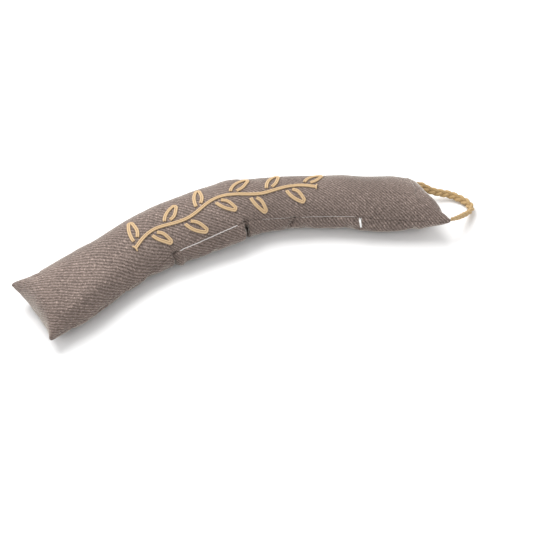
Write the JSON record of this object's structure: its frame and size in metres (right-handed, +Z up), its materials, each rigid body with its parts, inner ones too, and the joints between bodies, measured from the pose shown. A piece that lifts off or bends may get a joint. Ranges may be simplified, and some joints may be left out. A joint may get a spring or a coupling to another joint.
{
  "type": "draught excluder",
  "caption": "Long stuffed tube cushion in coarse twill for the foot of a door, gently bent, with a couched cord sprig and a plaited cord loop at one end.",
  "frame": {"origin": "on the floor, under the middle of the box of the cover and its decoration, the cord loop left out", "axes": "+X along the length towards the end with the cord loop, +Y towards the back, +Z up"},
  "size_m": [0.9239, 0.4196, 0.0987],
  "materials": {
    "taupe_twill": "coarse matte twill",
    "jute_cord": "twisted jute cord, matte",
    "jute_plait": "three-strand jute plait, matte",
    "white_tape": "smooth woven tape"
  },
  "bodies": {
    "root": {"cover": "taupe_twill", "handle": "jute_plait", "leaf_01": "jute_cord", "leaf_02": "jute_cord", "leaf_03": "jute_cord", "leaf_04": "jute_cord", "leaf_05": "jute_cord", "leaf_06": "jute_cord", "leaf_07": "jute_cord", "leaf_08": "jute_cord", "leaf_09": "jute_cord", "leaf_10": "jute_cord", "leaf_11": "jute_cord", "seam_tape": "white_tape", "sprig_stem": "jute_cord"}
  },
  "joints": []
}
